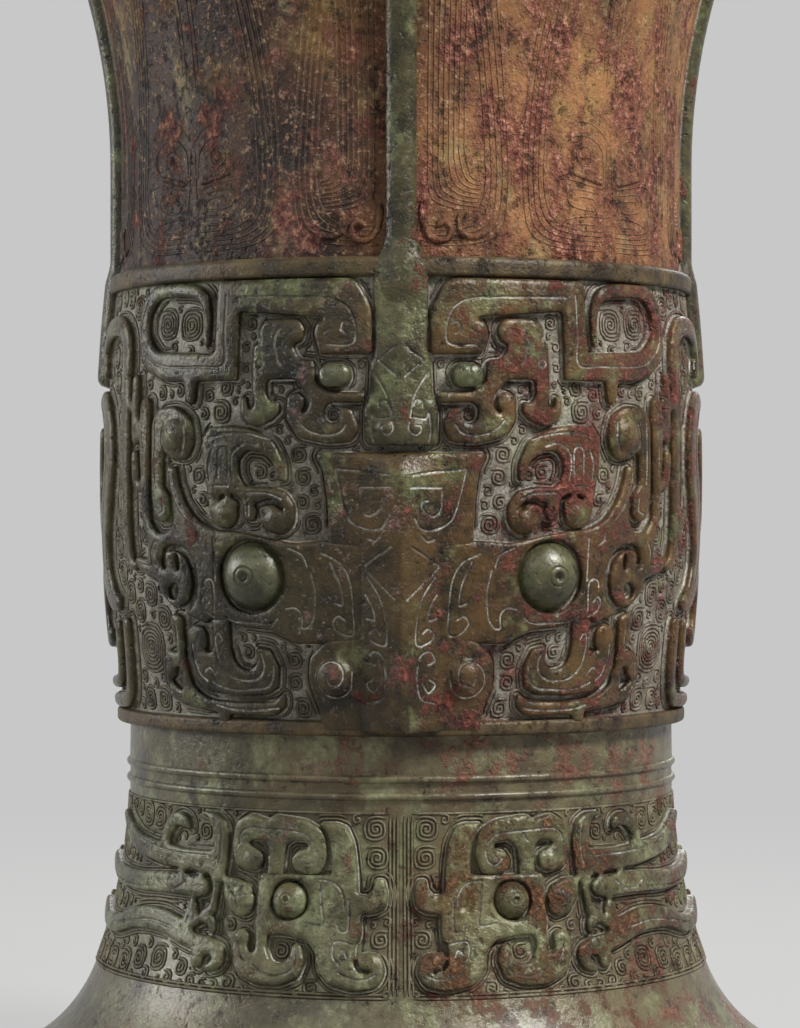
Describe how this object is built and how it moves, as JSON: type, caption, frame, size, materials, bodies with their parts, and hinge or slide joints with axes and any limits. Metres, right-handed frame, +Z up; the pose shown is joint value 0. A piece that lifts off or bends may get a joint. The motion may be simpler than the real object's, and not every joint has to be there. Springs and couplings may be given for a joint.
{
  "type": "bronze zun wine vessel",
  "caption": "Tall bronze wine vessel with a trumpet mouth and ribs up its neck, a drum covered in raised animal masks, and a flaring foot with a smaller mask band.",
  "frame": {"origin": "centre of the standing ring, on the plane that it stands on", "axes": "+Z up along the vessel's axis, -Y out of the front mask, +X to the right of that mask"},
  "size_m": [0.264, 0.264, 0.365],
  "materials": {
    "neck_bronze": "red and green patina, semi-gloss",
    "drum_bronze": "olive brown patina with pale earth in the grooves",
    "mask_bronze": "olive brown patina, worn smooth on the high points",
    "eye_bronze": "olive patina, smooth",
    "foot_bronze": "grey green patina with red spots",
    "floor_bronze": "dull brown patina"
  },
  "bodies": {
    "root": {"trumpet_neck": "neck_bronze", "mask_drum": "drum_bronze", "vessel_floor": "floor_bronze", "foot_ring": "foot_bronze", "flange_front": "neck_bronze", "flange_right": "neck_bronze", "flange_back": "neck_bronze", "flange_left": "neck_bronze", "front_upper_nose": "mask_bronze", "front_upper_eyes": "eye_bronze", "front_snout": "mask_bronze", "back_upper_nose": "mask_bronze", "back_upper_eyes": "eye_bronze", "back_snout": "mask_bronze", "front_right_upper_horn": "mask_bronze", "front_right_upper_jaw": "mask_bronze", "front_right_horn": "mask_bronze", "front_right_face": "mask_bronze", "front_right_eye": "eye_bronze", "front_right_plume": "mask_bronze", "front_right_jaw": "mask_bronze", "front_right_dragon": "mask_bronze", "front_left_upper_horn": "mask_bronze", "front_left_upper_jaw": "mask_bronze", "front_left_horn": "mask_bronze", "front_left_face": "mask_bronze", "front_left_eye": "eye_bronze", "front_left_plume": "mask_bronze", "front_left_jaw": "mask_bronze", "front_left_dragon": "mask_bronze", "back_right_upper_horn": "mask_bronze", "back_right_upper_jaw": "mask_bronze", "back_right_horn": "mask_bronze", "back_right_face": "mask_bronze", "back_right_eye": "eye_bronze", "back_right_plume": "mask_bronze", "back_right_jaw": "mask_bronze", "back_right_dragon": "mask_bronze", "back_left_upper_horn": "mask_bronze", "back_left_upper_jaw": "mask_bronze", "back_left_horn": "mask_bronze", "back_left_face": "mask_bronze", "back_left_eye": "eye_bronze", "back_left_plume": "mask_bronze", "back_left_jaw": "mask_bronze", "back_left_dragon": "mask_bronze", "foot_front_right_horn": "foot_bronze", "foot_front_right_face": "foot_bronze", "foot_front_right_body": "foot_bronze", "foot_front_left_horn": "foot_bronze", "foot_front_left_face": "foot_bronze", "foot_front_left_body": "foot_bronze", "foot_back_right_horn": "foot_bronze", "foot_back_right_face": "foot_bronze", "foot_back_right_body": "foot_bronze", "foot_back_left_horn": "foot_bronze", "foot_back_left_face": "foot_bronze", "foot_back_left_body": "foot_bronze"}
  },
  "joints": []
}
